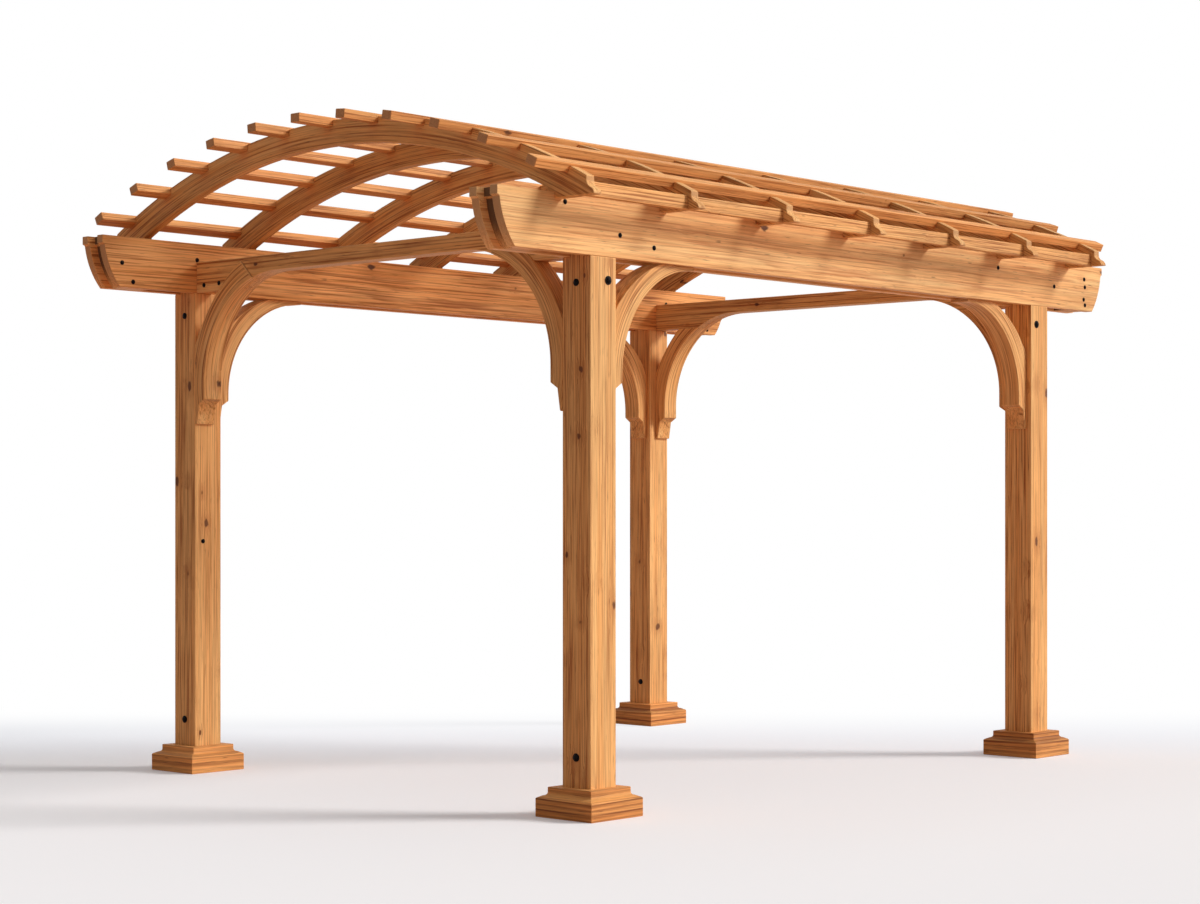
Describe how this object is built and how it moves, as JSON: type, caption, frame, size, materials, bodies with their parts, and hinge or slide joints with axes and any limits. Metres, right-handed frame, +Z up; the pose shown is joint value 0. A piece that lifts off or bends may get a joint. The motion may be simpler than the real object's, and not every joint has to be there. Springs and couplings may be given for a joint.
{
  "type": "wooden garden pergola",
  "caption": "Free-standing timber pergola with an arched lattice roof on square posts, twin-plank beams, curved knee braces and stepped base trims.",
  "frame": {"origin": "on the ground, midway between the four posts, under the middle of the roof", "axes": "+X along the twin beams from the front gable to the back gable, +Y across the arches to the left side, +Z up"},
  "size_m": [4.32, 3.02, 2.838],
  "materials": {
    "posts": "satin",
    "bases": "satin",
    "beams": "satin",
    "spacers": "satin",
    "ties": "satin",
    "braces": "satin",
    "arches": "satin",
    "purlins": "satin",
    "bolts": "satin"
  },
  "bodies": {
    "root": {"front_left_post": "posts", "front_right_post": "posts", "back_left_post": "posts", "back_right_post": "posts", "front_left_base": "bases", "front_right_base": "bases", "back_left_base": "bases", "back_right_base": "bases", "left_outer_beam": "beams", "left_inner_beam": "beams", "right_inner_beam": "beams", "right_outer_beam": "beams", "left_beam_spacers": "spacers", "right_beam_spacers": "spacers", "front_tie": "ties", "back_tie": "ties", "front_left_gable_brace": "braces", "front_right_gable_brace": "braces", "back_left_gable_brace": "braces", "back_right_gable_brace": "braces", "front_left_side_brace": "braces", "front_right_side_brace": "braces", "back_left_side_brace": "braces", "back_right_side_brace": "braces", "arch_1": "arches", "arch_2": "arches", "arch_3": "arches", "arch_4": "arches", "arch_5": "arches", "arch_6": "arches", "arch_7": "arches", "purlin_1": "purlins", "purlin_2": "purlins", "purlin_3": "purlins", "purlin_4": "purlins", "purlin_5": "purlins", "purlin_6": "purlins", "purlin_7": "purlins", "purlin_8": "purlins", "purlin_9": "purlins", "purlin_10": "purlins", "purlin_11": "purlins", "left_eave_board": "purlins", "right_eave_board": "purlins"}
  },
  "joints": []
}
